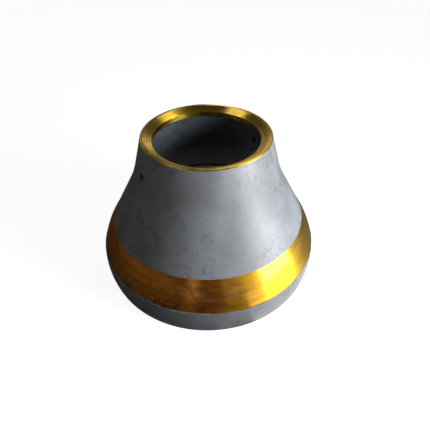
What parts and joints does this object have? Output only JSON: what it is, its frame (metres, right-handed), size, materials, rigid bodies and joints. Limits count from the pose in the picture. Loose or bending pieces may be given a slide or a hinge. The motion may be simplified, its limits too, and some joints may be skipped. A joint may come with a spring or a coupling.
{
  "type": "cone crusher mantle",
  "caption": "Bell-shaped cone crusher mantle with a flared wearing cone, a turned gauge band, a steep collar, a conical top seat, a machined lower seat inside and radial lifting holes.",
  "frame": {"origin": "centre of the flat bottom rim, on the crusher's axis", "axes": "+Z along the crusher's axis, up towards the collar; the lifting holes lie along X"},
  "size_m": [0.9669, 0.967, 0.63],
  "materials": {
    "painted_casting": "satin",
    "turned_faces": "satin"
  },
  "bodies": {
    "root": {"mantle": "painted_casting"}
  },
  "joints": []
}
